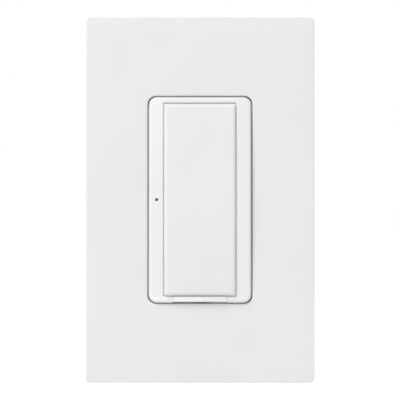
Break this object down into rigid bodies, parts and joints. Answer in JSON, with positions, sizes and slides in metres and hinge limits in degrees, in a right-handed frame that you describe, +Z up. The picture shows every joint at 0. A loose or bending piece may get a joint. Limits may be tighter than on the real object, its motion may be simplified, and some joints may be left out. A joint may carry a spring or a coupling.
{
  "type": "smart wall switch",
  "caption": "Radio-controlled wall switch with a tall tap paddle, status light, pull-out service tab and a screwless clip-on plate, on a metal yoke with a rear housing for a wall box",
  "frame": {"origin": "middle of the wall plane, on the axis between the two box screws", "axes": "+X right as seen from the room, +Y into the wall, +Z up"},
  "size_m": [0.0746, 0.0404, 0.119],
  "materials": {
    "plate_plastic": "satin",
    "bezel_plastic": "satin",
    "paddle_plastic": "satin",
    "light_pipe": "smoked clear",
    "adapter_plastic": "matt",
    "screw_steel": "zinc plated",
    "yoke_metal": "stamped",
    "fibre": "fibre board",
    "green_screw": "green dyed",
    "housing_plastic": "fine texture",
    "brass": "plain",
    "plated_brass": "nickel plated",
    "board": "solder mask",
    "dark_plastic": "matt",
    "plunger_plastic": "matt",
    "led": "clear",
    "can_metal": "tin plated",
    "relay_plastic": "matt",
    "film_yellow": "moulded",
    "sleeve": "shrink sleeve",
    "ferrite": "wound core",
    "varistor_blue": "dipped",
    "spring_steel": "plain"
  },
  "bodies": {
    "switch_body": {"cover_plate": "plate_plastic", "bezel": "bezel_plastic", "light_pipe": "light_pipe", "plate_adapter": "adapter_plastic", "adapter_screws": "screw_steel", "yoke": "yoke_metal", "box_screws": "screw_steel", "screw_retainers": "fibre", "ground_screw": "green_screw", "rear_housing": "housing_plastic", "housing_screws": "screw_steel", "line_terminal": "brass", "load_terminal": "brass", "neutral_terminal": "plated_brass", "remote_terminal": "brass", "terminal_screws": "screw_steel", "control_board": "board", "tact_switch": "dark_plastic", "status_led": "led", "radio_module": "can_metal", "microcontroller": "dark_plastic", "antenna": "can_metal", "board_header": "dark_plastic", "power_board": "board", "relay": "relay_plastic", "film_capacitor": "film_yellow", "bulk_capacitor": "sleeve", "choke": "ferrite", "varistor": "varistor_blue", "service_contacts": "brass", "return_springs": "spring_steel"},
    "paddle": {"paddle": "paddle_plastic"},
    "plunger": {"tact_plunger": "plunger_plastic"},
    "service_slide": {"service_tab": "bezel_plastic", "bridge_contact": "brass"}
  },
  "joints": [
    {"name": "paddle_press", "type": "hinge", "parent": "switch_body", "child": "paddle", "pos_m": [0, -0.005, 0.02785], "axis": [1, 0, 0], "range_deg": [0, 0.8], "stiffness_Nm_per_rad": 2, "springref_deg": -1.15, "deforming": ["return_springs"]},
    {"name": "plunger_slide", "type": "slide", "parent": "switch_body", "child": "plunger", "axis": [0, 1, 0], "range_m": [0, 0.00075]},
    {"name": "service_pull", "type": "slide", "parent": "switch_body", "child": "service_slide", "axis": [0, -1, 0], "range_m": [0, 0.0032]}
  ],
  "couplings": [
    {"joint": "plunger_slide", "follows": "paddle_press", "m_per_rad": 0.04985}
  ]
}
